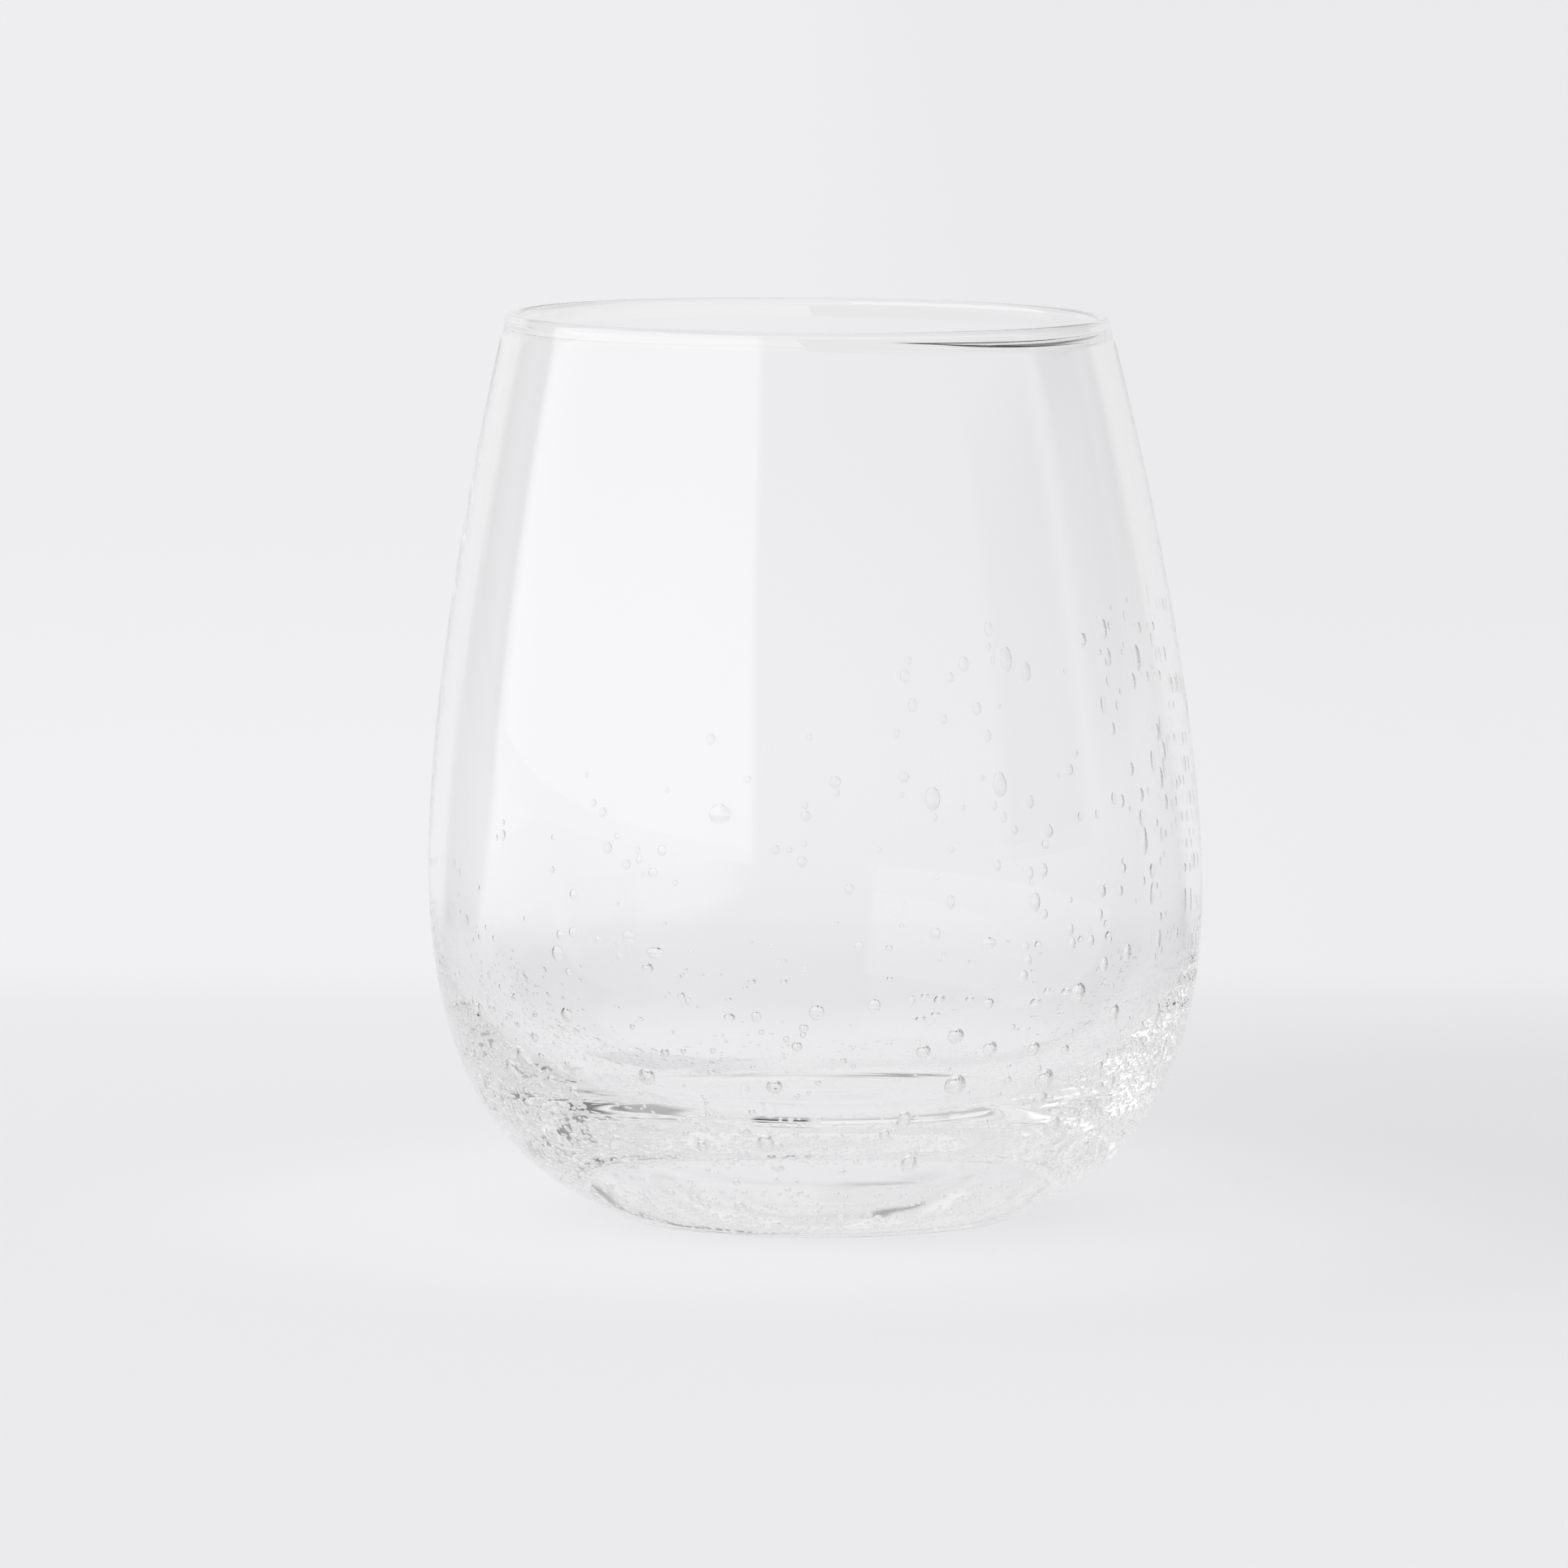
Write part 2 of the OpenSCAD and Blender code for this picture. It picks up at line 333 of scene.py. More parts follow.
def bubble(s, share, azimuth, width, stretch=1.0, flat=1.0):
    """A row for one bubble, flattened if the glass is thin there, or None if it would touch another."""
    r, z = through(s, share)
    half = width / 2
    depth = min(half * flat, ROOM_SHARE * min(share, 1 - share) * thickness(s))
    along = half * stretch
    place = by_hand((r * math.cos(azimuth), r * math.sin(azimuth), z))
    if depth < LEAST_BUBBLE or not scatter.add(place, max(half, along)):
        return None
    ahead = through(s + SLOPE_STEP, share)
    lean = math.atan2(ahead[0] - r, ahead[1] - z)
    return place, azimuth, lean, (depth, half, along)


def icosphere(subdivisions):
    """Points and faces of a unit ball, its faces turned to look inwards."""
    bm = bmesh.new()
    bmesh.ops.create_icosphere(bm, subdivisions=subdivisions, radius=1)
    verts = np.array([v.co[:] for v in bm.verts])
    faces = np.array([[v.index for v in f.verts] for f in bm.faces])
    bm.free()
    return verts, faces[:, ::-1]


def bubble_mesh(name, rows, subdivisions):
    """Joins bubbles into one mesh whose faces look into the air, as the edge of glass does."""
    verts, faces = icosphere(subdivisions)
    points = []
    polygons = []
    up = np.array((0, 0, 1))
    for i, (place, azimuth, lean, halves) in enumerate(rows):
        radial = np.array((math.cos(azimuth), math.sin(azimuth), 0))
        side = np.array((-math.sin(azimuth), math.cos(azimuth), 0))
        along = up * math.cos(lean) + radial * math.sin(lean)
        out = radial * math.cos(lean) - up * math.sin(lean)
        axes = np.stack((out * halves[0], side * halves[1], along * halves[2]))
        # A flattened bubble thins out to its edge like a lens
        shaped = verts.copy()
        shaped[:, 0] = np.sign(verts[:, 0]) * np.abs(verts[:, 0]) ** (2 - min(1, halves[0] / halves[1]))
        points.append(shaped @ axes + np.array(place))
        polygons.append(faces + i * len(verts))
    points = np.concatenate(points)
    polygons = np.concatenate(polygons)
    mesh = bpy.data.meshes.new(name)
    mesh.vertices.add(len(points))
    mesh.vertices.foreach_set("co", points.astype(np.float32).ravel())
    mesh.loops.add(polygons.size)
    mesh.loops.foreach_set("vertex_index", polygons.astype(np.int32).ravel())
    mesh.polygons.add(len(polygons))
    mesh.polygons.foreach_set("loop_start", np.arange(0, polygons.size, faces.shape[1], dtype=np.int32))
    mesh.update(calc_edges=True)
    mesh.validate()
    mesh.shade_smooth()
    return mesh


def climb(azimuth):
    """Height that bubbles reach up the wall: highest on the right."""
    return CLIMB_LEFT + CLIMB_SWELL * (1 + math.cos(azimuth))


def station_at(z):
    """Station at which the middle of the glass has a height."""
    low, high = FOOT, RIM
    for _ in range(STATION_HALVINGS):
        middle = (low + high) / 2
        if through(middle, MIDDLE_SHARE)[1] < z:
            low = middle
        else:
            high = middle
    return low


def flatness(z):
    """Depth of a bubble for its width at a height."""
    return 1 - FLATTENED_SHARE * fade(z, FLATTENED_FROM, FLATTENED_TO)


def wall_slope(s):
    """Steepness of the glass at a station: 1 where it stands upright."""
    a = through(s, MIDDLE_SHARE)
    b = through(s + SLOPE_STEP, MIDDLE_SHARE)
    return abs(math.sin(math.atan2(b[1] - a[1], b[0] - a[0])))


# Large bubbles where the photograph shows them: x, y, width and height in its pixels
SEEN_BUBBLES = (
    (888, 1003, 22, 20), (777, 1154, 15, 13), (809, 1174, 20, 12), (690, 1175, 15, 16),
    (767, 1179, 9, 9), (1217, 1162, 16, 12), (1261, 1166, 9, 8), (1422, 1157, 10, 20),
    (1384, 1173, 12, 18), (1460, 1110, 10, 28), (1405, 1035, 11, 30), (1325, 1223, 20, 22),
    (1368, 1248, 15, 20), (1418, 1248, 13, 24), (1216, 1236, 12, 12), (982, 1288, 11, 11),
    (1136, 1294, 16, 15), (1176, 1275, 18, 16), (1217, 1290, 17, 16), (1270, 1290, 16, 15),
    (1308, 1291, 11, 11), (1281, 1326, 24, 23), (1174, 1333, 24, 22), (955, 1335, 17, 15),
    (800, 1323, 19, 18), (715, 1344, 18, 20), (642, 1319, 27, 32), (945, 1399, 19, 18),
    (869, 1402, 12, 12), (917, 1459, 14, 14), (1116, 1419, 18, 17), (1112, 1370, 14, 13),
    (1288, 1378, 20, 20), (691, 1386, 14, 15), (788, 1453, 12, 12), (960, 1502, 14, 13),
    (740, 1158, 8, 8), (1088, 1390, 12, 12), (1360, 1330, 15, 18), (600, 1245, 12, 18),
)
# Share of the way through the glass at which they lie, and their growth, as glass shrinks their look
SEEN_SHARE = 0.62
SEEN_GROWTH = 1.2
# Search for the glass along a pixel's ray: where it starts, how far it goes, its step and its lowest point
RAY_START = 1.2
RAY_REACH = 0.2
RAY_STEP = 0.25 * MM
RAY_LOWEST = 0.5 * MM
LEAST_SLOPE = 0.6


def bubble_seen_at(x_px, y_px, width_px, height_px):
    """Row for a bubble in the near side of the glass that the camera sees at a pixel."""
    ray = Vector(((x_px - FRAME_PX / 2) / FOCAL_PX, (FRAME_PX / 2 - y_px) / FOCAL_PX, -1))
    turn = bpy.context.scene.camera.rotation_euler.to_matrix()
    step = (turn @ ray).normalized() * RAY_STEP
    place = CAMERA_PLACE + step * int(RAY_START / RAY_STEP)
    station = FOOT
    for _ in range(int(RAY_REACH / RAY_STEP)):
        place = place + step
        station = station_at(max(place.z, RAY_LOWEST))
        if math.hypot(place.x + LEAN * place.z, place.y) < through(station, SEEN_SHARE)[0]:
            break
    azimuth = math.atan2(place.y, place.x + LEAN * place.z)
    px = (place - CAMERA_PLACE).length / FOCAL_PX
    stretch = height_px / width_px / max(LEAST_SLOPE, wall_slope(station))
    return bubble(station, SEEN_SHARE, azimuth, SEEN_GROWTH * width_px * px, stretch, flatness(place.z))


# Scattered bubbles, by group: how many, and the range of each choice.
# Sizes of four values are a median, a spread, the least and the most
SCATTER_START = 5
REAR_COUNT = 26
REAR_TURNS = (0.05, 0.45)
REAR_SIZES = (1 * MM, 2 * MM)
REAR_STATIONS = (1.1, 1.75)
REAR_SHARES = (0.4, 0.7)
REAR_STRETCH = (0.9, 1.3)
HEEL_COUNT = 240
HEEL_SIZES = (0.85 * MM, 0.28, 0, 1.5 * MM)
HEEL_STATIONS = (1.05, 1.82)
HEEL_SHARES = (0.45, 0.85)
HEEL_STRETCH = (0.9, 1.25)
WALL_COUNT = 360
WALL_SIZES = (0.62 * MM, 0.45, 0, 1.7 * MM)
WALL_LOWEST = 16 * MM
WALL_CROWDING = 1.5
WALL_SHARES = (0.35, 0.65)
WALL_STRETCH = 1.3
# A swarm of faint drawn-out bubbles stands in the wall on the right
SWARM_COUNT = 130
SWARM_DEGREES = (-75, 35)
SWARM_HEIGHTS = (30 * MM, 72 * MM)
SWARM_SIZES = (0.95 * MM, 0.3, 0, 1.8 * MM)
SWARM_SHARES = (0.4, 0.6)
SWARM_STRETCH = (1.2, 2.1)
SKIN_COUNT = 2200
SKIN_SHARES = (0.86, 0.95)
DEEP_COUNT = 700
DEEP_SHARES = (0.55, 0.86)
SEED_SIZES = (0.55 * MM, 0.22, 0.34 * MM, 0.9 * MM)
SEED_LOWEST = 1.02
SEED_CLIMB = 0.84
SEED_CROWDING = 1.25
SEED_STRETCH = (0.9, 1.2)
# Seeds lie thick at the sides of the heel, thin behind and high in front: the shares that are kept there.
# Behind and in front are sines of the azimuth
BEHIND = 0.55
IN_FRONT = -0.6
HIGH_STATION = 1.45
KEPT_BEHIND_SHARE = 0.3
KEPT_HIGH_BEHIND_SHARE = 0.04
KEPT_HIGH_FRONT_SHARE = 0.08


def random_size(rng, median, spread, least, most):
    return min(most, max(least, rng.lognormvariate(math.log(median), spread)))


def seed_azimuth(rng, s):
    """A random azimuth for a seed at a station."""
    while True:
        azimuth = rng.random() * FULL_TURN
        away = math.sin(azimuth)
        kept_share = 1.0
        if away > BEHIND:
            kept_share = KEPT_HIGH_BEHIND_SHARE if s > HIGH_STATION else KEPT_BEHIND_SHARE
        elif away < IN_FRONT and s > HIGH_STATION:
            kept_share = KEPT_HIGH_FRONT_SHARE
        if rng.random() < kept_share:
            return azimuth


def rear_bubbles(rng):
    for _ in range(REAR_COUNT):
        azimuth = rng.uniform(*REAR_TURNS) * FULL_TURN
        size = rng.uniform(*REAR_SIZES)
        s = rng.uniform(*REAR_STATIONS)
        yield bubble(s, rng.uniform(*REAR_SHARES), azimuth, size, rng.uniform(*REAR_STRETCH))


def heel_bubbles(rng):
    for _ in range(HEEL_COUNT):
        size = random_size(rng, *HEEL_SIZES)
        s = rng.uniform(*HEEL_STATIONS)
        yield bubble(s, rng.uniform(*HEEL_SHARES), seed_azimuth(rng, s), size, rng.uniform(*HEEL_STRETCH))


def wall_bubbles(rng):
    """Bubbles all round the wall, most drawn out where they climb highest."""
    for _ in range(WALL_COUNT):
        azimuth = rng.random() * FULL_TURN
        z = WALL_LOWEST + (climb(azimuth) - WALL_LOWEST) * rng.random() ** WALL_CROWDING
        size = random_size(rng, *WALL_SIZES)
        stretch = 1 + WALL_STRETCH * z / climb(0) * rng.random() * (1 + math.cos(azimuth)) / 2
        yield bubble(station_at(z), rng.uniform(*WALL_SHARES), azimuth, size, stretch, flatness(z))


def swarm_bubbles(rng):
    for _ in range(SWARM_COUNT):
        azimuth = math.radians(rng.uniform(*SWARM_DEGREES))
        z = rng.uniform(*SWARM_HEIGHTS)
        size = random_size(rng, *SWARM_SIZES)
        share = rng.uniform(*SWARM_SHARES)
        yield bubble(station_at(z), share, azimuth, size, rng.uniform(*SWARM_STRETCH), flatness(z))


def seeds(rng, count, shares):
    for _ in range(count):
        size = random_size(rng, *SEED_SIZES)
        s = SEED_LOWEST + SEED_CLIMB * rng.random() ** SEED_CROWDING
        yield bubble(s, rng.uniform(*shares), seed_azimuth(rng, s), size, rng.uniform(*SEED_STRETCH))


def scatter_bubbles():
    """Five groups of rows: large, heel and wall bubbles, and seeds in the skin and deeper."""
    rng = random.Random(SCATTER_START)
    large = [bubble_seen_at(*seen) for seen in SEEN_BUBBLES]
    large += rear_bubbles(rng)
    heel = list(heel_bubbles(rng))
    wall = list(wall_bubbles(rng))
    wall += swarm_bubbles(rng)
    skin = list(seeds(rng, SKIN_COUNT, SKIN_SHARES))
    deep = list(seeds(rng, DEEP_COUNT, DEEP_SHARES))
    return [[row for row in rows if row] for rows in (large, heel, wall, skin, deep)]


class Graph:
    """Short ways to add shader nodes and to join them."""

    def __init__(self, owner):
        owner.use_nodes = True
        self.nodes = owner.node_tree.nodes
        self.links = owner.node_tree.links

    def put(self, socket, value):
        if isinstance(value, bpy.types.NodeSocket):
            self.links.new(value, socket)
        else:
            socket.default_value = value

    def math(self, operation, *inputs):
        node = self.nodes.new("ShaderNodeMath")
        node.operation = operation
        for socket, value in zip(node.inputs, inputs):
            self.put(socket, value)
        return node.outputs[0]

    def product(self, *values):
        result = values[0]
        for value in values[1:]:
            result = self.math("MULTIPLY", result, value)
        return result

    def rest(self, share):
        """What a share leaves of one."""
        return self.math("SUBTRACT", 1.0, share)

    def fade(self, value, start, end, low=0.0, high=1.0):
        """low before start, high after end, smooth between."""
        node = self.nodes.new("ShaderNodeMapRange")
        node.interpolation_type = "SMOOTHSTEP"
        for name, number in (
            ("Value", value), ("From Min", start), ("From Max", end), ("To Min", low), ("To Max", high)
        ):
            self.put(node.inputs[name], number)
        return node.outputs["Result"]

    def fade_out(self, value, start, end):
        return self.fade(value, start, end, 1.0, 0.0)

    def axes(self, output):
        """The three axes of the texture coordinates of that name."""
        coords = self.nodes.new("ShaderNodeTexCoord")
        split = self.nodes.new("ShaderNodeSeparateXYZ")
        self.links.new(coords.outputs[output], split.inputs[0])
        return split.outputs

    def rays(self):
        """Marks of the ray: from the camera, mirrored or refracted, through glass, and mirrored only."""
        path = self.nodes.new("ShaderNodeLightPath")
        camera = path.outputs["Is Camera Ray"]
        glossy = path.outputs["Is Glossy Ray"]
        through_glass = path.outputs["Is Transmission Ray"]
        return camera, glossy, through_glass, self.product(glossy, self.rest(through_glass))


GLASS_IOR = 1.5
# The underside is a little dull from grinding, up to these heights, and the rest is bright from the fire
DULL_ROUGHNESS = 0.1
DULL_TO, BRIGHT_FROM = 0.3 * MM, 0.5 * MM
# Faint waves of the skins: how many to the metre across, away and up, and their depth in glass and bubbles
SKIN_WAVES = (30, 30, 70)
SKIN_DETAIL = 1.0
GLASS_WAVE = 0.004 * MM
BUBBLE_WAVE = 0.001 * MM


def glass_material(name, wave_height):
    """Clear soda-lime glass whose skin has faint waves, drawn out round the axis."""
    material = bpy.data.materials.new(name)
    graph = Graph(material)
    shader = graph.nodes["Principled BSDF"]
    shader.inputs["Base Color"].default_value = (1, 1, 1, 1)
    shader.inputs["IOR"].default_value = GLASS_IOR
    shader.inputs["Transmission Weight"].default_value = 1.0
    height = graph.axes("Object")[2]
    graph.put(shader.inputs["Roughness"], graph.fade(height, DULL_TO, BRIGHT_FROM, DULL_ROUGHNESS, 0.0))
    coords = graph.nodes.new("ShaderNodeTexCoord")
    place = graph.nodes.new("ShaderNodeMapping")
    place.inputs["Scale"].default_value = SKIN_WAVES
    graph.links.new(coords.outputs["Object"], place.inputs["Vector"])
    waves = graph.nodes.new("ShaderNodeTexNoise")
    waves.inputs["Scale"].default_value = 1.0
    waves.inputs["Detail"].default_value = SKIN_DETAIL
    graph.links.new(place.outputs[0], waves.inputs["Vector"])
    bump = graph.nodes.new("ShaderNodeBump")
    bump.inputs["Strength"].default_value = 1.0
    bump.inputs["Distance"].default_value = wave_height
    graph.links.new(waves.outputs["Fac"], bump.inputs["Height"])
    graph.links.new(bump.outputs[0], shader.inputs["Normal"])
    return material


def add_piece(name, mesh, material, slot, *nodes):
    piece = bpy.data.objects.new(name, mesh)
    bpy.context.scene.collection.objects.link(piece)
    piece.data.materials.append(material)
    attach(piece, "root")
    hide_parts(*nodes)


def add_camera():
    data = bpy.data.cameras.new("camera")
    data.sensor_fit = "HORIZONTAL"
    data.sensor_width = SENSOR_MM
    data.lens = FOCAL_PX / FRAME_PX * SENSOR_MM
    data.clip_start = CAMERA_NEAR
    data.clip_end = CAMERA_FAR
    camera = bpy.data.objects.new("camera", data)
    camera.location = CAMERA_PLACE
    camera.rotation_euler = (math.pi / 2 - CAMERA_PITCH, 0, CAMERA_TURN)
    bpy.context.scene.collection.objects.link(camera)
    bpy.context.scene.camera = camera


# Stage: a wide pale floor, under a thin film of air that lets light in below the foot
STAGE_HALF = 9.0
FLOOR_GAP = 0.1 * MM
PAPER = (0.84, 0.84, 0.86, 1)
PAPER_TINT = (0.99, 0.98, 1, 1)
# Share of the floor's look that is set, by kind of ray: the rest is lit, and keeps the shadow
CAMERA_SET_SHARE = 0.8
THROUGH_GLASS_SET_SHARE = 0.92
# Tones of the floor, and ranges over which they set in: rightwards, away from the camera, out from the axis
WHOLLY_SET_AWAY = (0.10, 0.25)
NEAR_TONE = 0.862
# Painted shadow of the glass: the floor's tone is darker behind it on the right, by this much, over these
# ranges
PAINTED_SHADOW_AT_RIGHT = 0.085
PAINTED_SHADOW_RIGHT = (-0.02, 0.08)
PAINTED_SHADOW_AWAY = (-0.16, 0.04)
# Painted light of the glass on the paper round its foot: how much brighter, and out to where
PAINTED_CAUSTIC = 0.09
PAINTED_CAUSTIC_OUT = (0.03, 0.1)
BACK_TONES = (0.885, 0.865)
BACK_AWAY = (0.4, 1.2)
BACK_RIGHT_SHARE = 0.965
BACK_RIGHT = (-0.05, 0.1)
HORIZON_AWAY = (0.11, 0.24)
# Painted shade of the glass on the floor under and round its foot, as seen through the glass: its share and
# reach
SHADE_SHARE = 0.075
SHADE_OUT = (0.04, 0.5)
# The dark sides of the studio, in degrees from straight behind: their start, and their left and right end
ASIDE_SHARE = 0.2
ASIDE_OUT = (0.15, 0.25)
ASIDE_START = (36, 44)
ASIDE_ENDS = (66, 110)
ASIDE_SOFT = 8
ASIDE_MIDDLE = (-0.01, 0.01)
# The floor below the big lamp, likewise
LAMP_FLOOR_START = (66, 72)
LAMP_FLOOR_END = (150, 165)
LAMP_FLOOR_LEFT = (-0.15, -0.3)


def add_stage():
    mesh = bpy.data.meshes.new("floor")
    signs = ((-1, -1), (1, -1), (1, 1), (-1, 1))
    corners = [(x * STAGE_HALF, y * STAGE_HALF, -FLOOR_GAP) for x, y in signs]
    mesh.from_pydata(corners, [], [(0, 1, 2, 3)])
    floor = bpy.data.objects.new("floor", mesh)
    bpy.context.scene.collection.objects.link(floor)
    floor.data.materials.append(stage_material())


def floor_tone(graph, x, y, rays):
    """Brightness of the floor at a point, for what looks at it."""
    camera, _, through_glass, mirrored = rays
    reach = graph.math("SQRT", graph.math("ADD", graph.product(x, x), graph.product(y, y)))
    # The floor is darkest behind the glass on the right, a painted shadow of the glass, and brightest where
    # it meets the backdrop
    right = graph.product(graph.fade(x, *PAINTED_SHADOW_RIGHT), graph.fade(y, *PAINTED_SHADOW_AWAY))
    near_tone = graph.math("MULTIPLY_ADD", right, -PAINTED_SHADOW_AT_RIGHT, NEAR_TONE)
    # Painted light: the light that the glass throws on the paper round its foot is painted into the floor's
    # tone
    near_tone = graph.math("ADD", near_tone, graph.fade(reach, *PAINTED_CAUSTIC_OUT, PAINTED_CAUSTIC, 0.0))
    back_tone = graph.fade(y, *BACK_AWAY, *BACK_TONES)
    back_tone = graph.product(back_tone, graph.fade(x, *BACK_RIGHT, 1.0, BACK_RIGHT_SHARE))
    horizon = graph.fade(y, *HORIZON_AWAY)
    near_tone = graph.product(near_tone, graph.rest(horizon))
    tone = graph.math("ADD", near_tone, graph.product(back_tone, horizon))
    # Under and round the foot, what is seen through the glass is darkened by a painted shade of the glass
    shade = graph.product(through_glass, graph.fade(reach, *SHADE_OUT, SHADE_SHARE, 0.0))
    tone = graph.product(tone, graph.rest(shade))
    # To both sides of the paper the studio is dark, which the edges of the glass mirror
    side = graph.math("DEGREES", graph.math("ARCTAN2", graph.math("ABSOLUTE", x), y))
    past_end = graph.math("SUBTRACT", side, graph.fade(x, *ASIDE_MIDDLE, *ASIDE_ENDS))
    aside = graph.product(graph.fade(side, *ASIDE_START), graph.fade_out(past_end, -ASIDE_SOFT, ASIDE_SOFT))
    aside = graph.product(aside, graph.fade(reach, *ASIDE_OUT), graph.rest(camera))
    tone = graph.product(tone, graph.math("MULTIPLY_ADD", aside, -ASIDE_SHARE, 1.0))
    # The big lamp at the left reaches below the edge of the paper
    lamp = graph.product(graph.fade(side, *LAMP_FLOOR_START), graph.fade(x, *LAMP_FLOOR_LEFT))
    lamp = graph.product(lamp, graph.fade_out(side, *LAMP_FLOOR_END), mirrored)
    return graph.math("MULTIPLY_ADD", lamp, LAMP_MIRRORED, tone)


def stage_material():
    """White paper: partly lit near the glass, and seen at a set brightness further off."""
    material = bpy.data.materials.new("paper")
    graph = Graph(material)
    shader = graph.nodes["Principled BSDF"]
    shader.inputs["Base Color"].default_value = PAPER
    shader.inputs["Roughness"].default_value = 1.0
    shader.inputs["Specular IOR Level"].default_value = 0.0
    x, y, _ = graph.axes("Object")
    rays = graph.rays()
    camera, glossy, through_glass, _ = rays
    seen = graph.math("MAXIMUM", camera, glossy)
    set_far = graph.product(graph.fade(y, *WHOLLY_SET_AWAY), graph.math("MAXIMUM", seen, through_glass))
    set_near = graph.math("MAXIMUM", graph.product(seen, CAMERA_SET_SHARE),
                          graph.product(through_glass, THROUGH_GLASS_SET_SHARE))
    glow = graph.nodes.new("ShaderNodeEmission")
    glow.inputs["Color"].default_value = PAPER_TINT
    graph.put(glow.inputs["Strength"], floor_tone(graph, x, y, rays))
    mix = graph.nodes.new("ShaderNodeMixShader")
    graph.put(mix.inputs[0], graph.math("MAXIMUM", set_far, set_near))
    graph.links.new(shader.outputs[0], mix.inputs[1])
    graph.links.new(glow.outputs[0], mix.inputs[2])
    graph.links.new(mix.outputs[0], graph.nodes["Material Output"].inputs["Surface"])
    return material


# Light of the studio: azimuths from the camera's side, positive to the right, and elevations, in degrees
BASE_LIGHT = 0.75
SKY_FOR_CAMERA = 0.87
PANELS = (
    # azimuth from and to, elevation from and to, softness, strength
    (-190, -138, -10, 19, 2, 0.12),
    (138, 190, -10, 13, 4, 0.06),
    (-190, -120, 19, 28, 2, -0.2),
    (-138, -112, -10, 60, 2, -0.15),
    (60, 90, -10, 16, 3, -0.4),
    (96, 134, 2, 12, 2, -0.3),
    (98, 138, 12, 42, 2, -0.6),
    (138, 153, 12, 42, 2, -0.35),
    (168, 178, 15, 30, 1, -0.75),
    (-190, 190, 34, 95, 6, 0.08),
)
# The big lamp at the left, edged like a panel: its strength on the paper, in mirrors and through the glass
LAMP = (-112, -18, -4, 48, 2)
LAMP_LIGHT = 0.65
LAMP_MIRRORED = 1.3
LAMP_THROUGH = 0.5
# Lamp overhead, in the plane one unit above the glass: right, away from the camera, softness and strength
OVERHEAD_RIGHT = (-0.44, 0.46)
OVERHEAD_AWAY = (0.18, 0.65)
OVERHEAD_SOFT = 0.03
OVERHEAD = 0.15
# It starts between these rises of a ray, and no ray is taken to rise less than the last
OVERHEAD_RISE = (0.3, 0.4)
LEAST_RISE = 0.1


def window(graph, value, low, high, soft):
    """One between two edges, and zero outside them."""
    past_low = graph.fade(value, low - soft, low + soft)
    return graph.product(past_low, graph.fade_out(value, high - soft, high + soft))


def panel_window(graph, azimuth, elevation, az_from, az_to, el_from, el_to, soft):
    """One inside a panel's edges, and zero outside them."""
    inside = window(graph, elevation, el_from, el_to, soft)
    if az_to - az_from < FULL_TURN_DEG:
        inside = graph.product(inside, window(graph, azimuth, az_from, az_to, soft))
    return inside


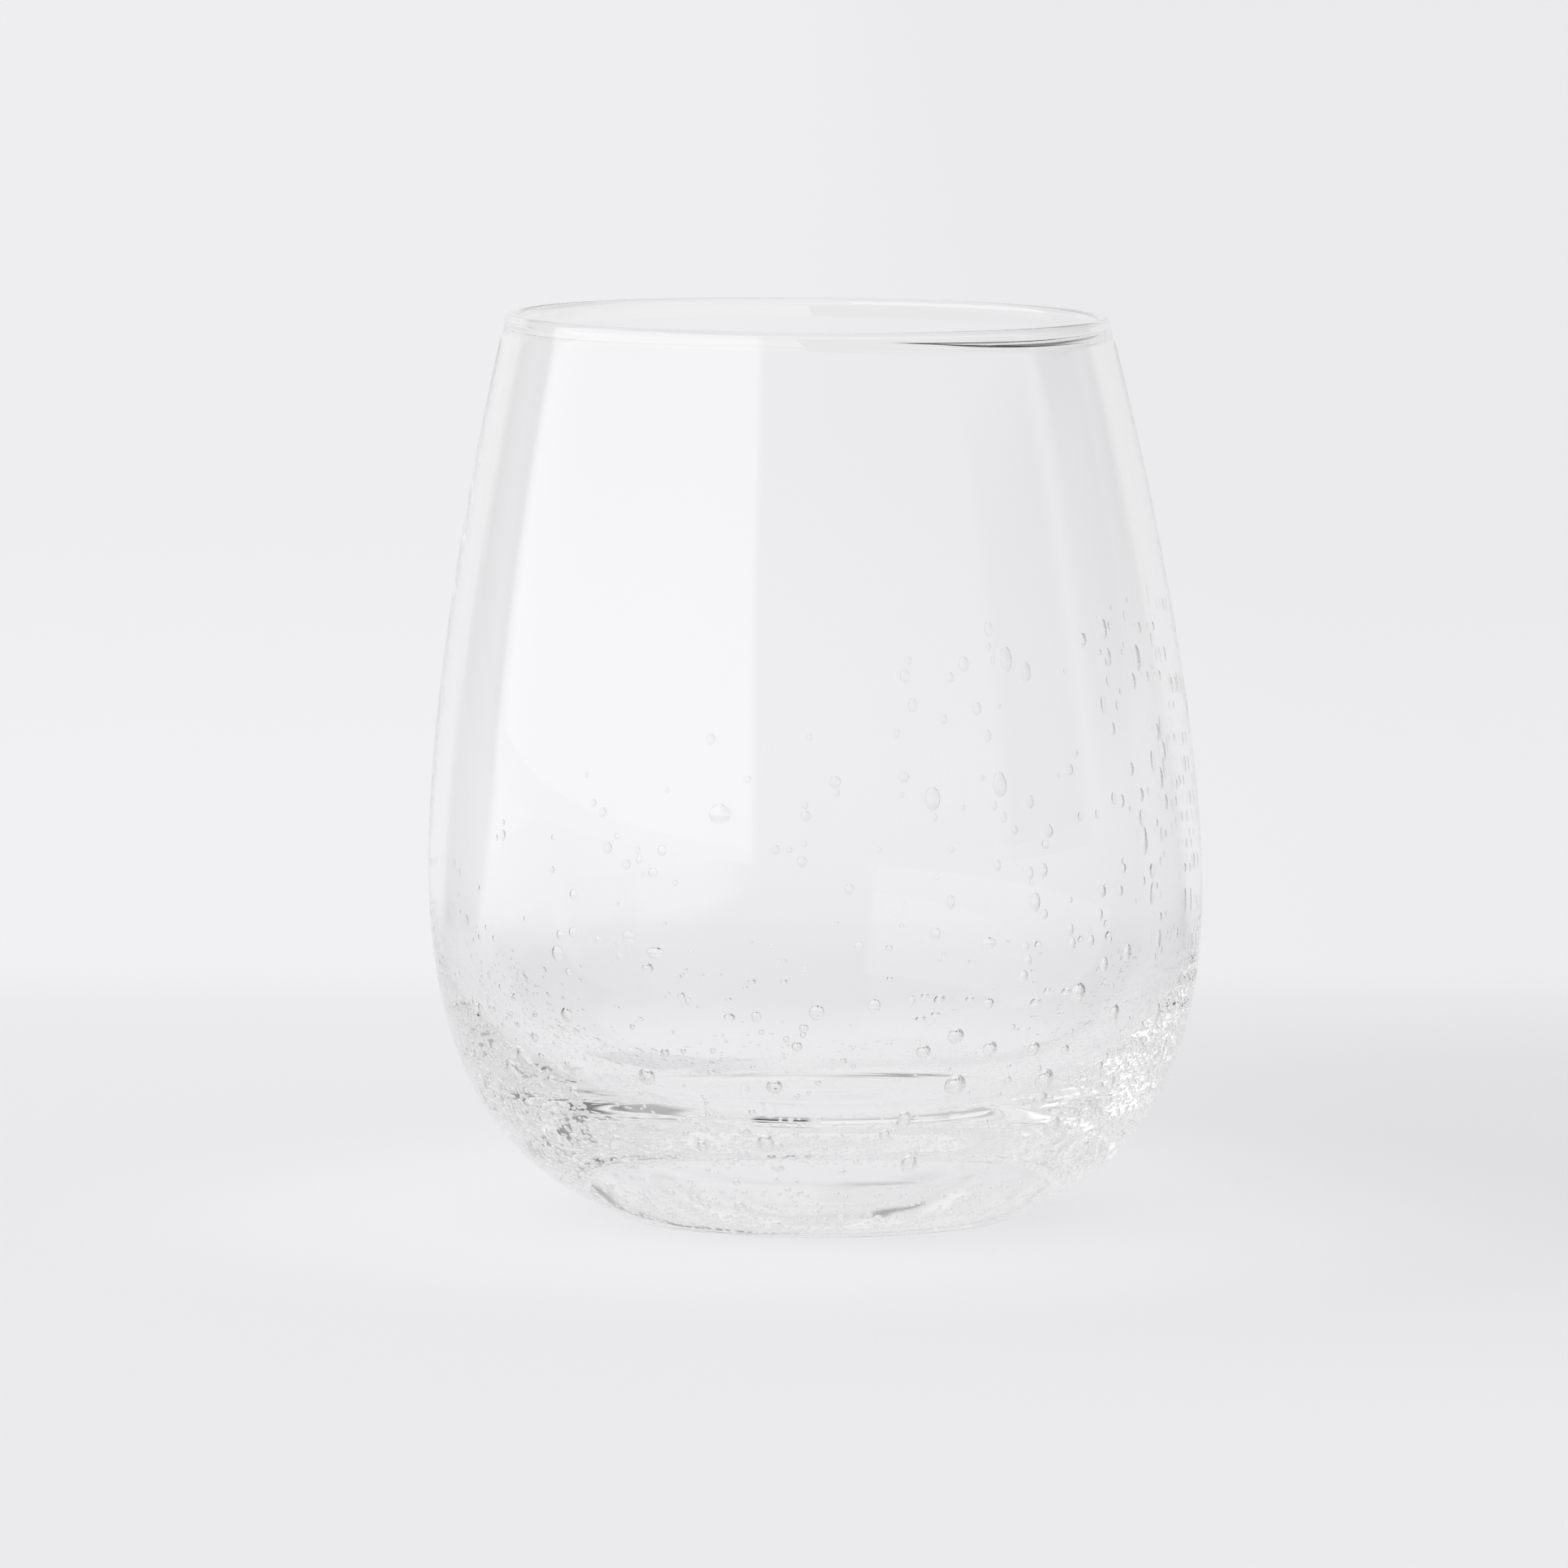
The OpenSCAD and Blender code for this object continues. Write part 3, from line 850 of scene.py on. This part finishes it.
def add_world():
    world = bpy.data.worlds.new("studio")
    bpy.context.scene.world = world
    graph = Graph(world)
    x, y, z = graph.axes("Generated")
    azimuth = graph.math("DEGREES", graph.math("ARCTAN2", x, graph.product(y, -1.0)))
    elevation = graph.math("DEGREES", graph.math("ARCSINE", z))
    camera, _, through_glass, mirrored = graph.rays()
    lamp = graph.math("MULTIPLY_ADD", mirrored, LAMP_MIRRORED - LAMP_LIGHT, LAMP_LIGHT)
    lamp = graph.math("MULTIPLY_ADD", through_glass, LAMP_THROUGH - LAMP_LIGHT, lamp)
    total = graph.math("MULTIPLY_ADD", panel_window(graph, azimuth, elevation, *LAMP), lamp, BASE_LIGHT)
    for *edges, strength in PANELS:
        total = graph.math("MULTIPLY_ADD", panel_window(graph, azimuth, elevation, *edges), strength, total)
    overhead = graph.fade(z, *OVERHEAD_RISE, 0.0, OVERHEAD)
    for axis, edges in ((x, OVERHEAD_RIGHT), (y, OVERHEAD_AWAY)):
        slant = graph.math("DIVIDE", axis, graph.math("MAXIMUM", z, LEAST_RISE))
        overhead = graph.product(overhead, window(graph, slant, *edges, OVERHEAD_SOFT))
    total = graph.math("ADD", graph.math("MAXIMUM", total, 0.0), overhead)
    sky = graph.product(camera, SKY_FOR_CAMERA)
    background = graph.nodes["Background"]
    background.inputs["Color"].default_value = (1, 1, 1, 1)
    lit = graph.product(graph.rest(camera), total)
    graph.put(background.inputs["Strength"], graph.math("ADD", sky, lit))


# Fineness of the balls for large bubbles, other bubbles and seeds
LARGE_DETAIL, BUBBLE_DETAIL, SEED_DETAIL = 4, 3, 2
# Light goes through many skins of glass before it gets out
GLASS_BOUNCES = 64
DIFFUSE_BOUNCES = 3
TRANSPARENT_BOUNCES = 16

add_camera()
add_stage()
add_world()

clear_glass = glass_material("clear_glass", GLASS_WAVE)
bubble_skin = glass_material("bubble_skin", BUBBLE_WAVE)
add_piece("glass", glass_mesh(), clear_glass, "clear_glass", "bowl", "seed_layer", "casing")
bpy.context.view_layer.update()
large_rows, heel_rows, wall_rows, skin_rows, deep_rows = scatter_bubbles()
for name, rows, detail, node in (
    ("large_air", large_rows, LARGE_DETAIL, "heel_bubbles"),
    ("heel_air", heel_rows, BUBBLE_DETAIL, "heel_bubbles"),
    ("wall_air", wall_rows, BUBBLE_DETAIL, "wall_bubbles"),
    ("skin_seeds", skin_rows, SEED_DETAIL, "fine_seeds"),
    ("deep_seeds", deep_rows, SEED_DETAIL, "fine_seeds"),
):
    add_piece(name, bubble_mesh(name, rows, detail), bubble_skin, "trapped_air", node)

scene = bpy.context.scene
scene.view_settings.view_transform = "Standard"
scene.cycles.max_bounces = GLASS_BOUNCES
scene.cycles.transmission_bounces = GLASS_BOUNCES
scene.cycles.glossy_bounces = GLASS_BOUNCES
scene.cycles.diffuse_bounces = DIFFUSE_BOUNCES
scene.cycles.transparent_max_bounces = TRANSPARENT_BOUNCES
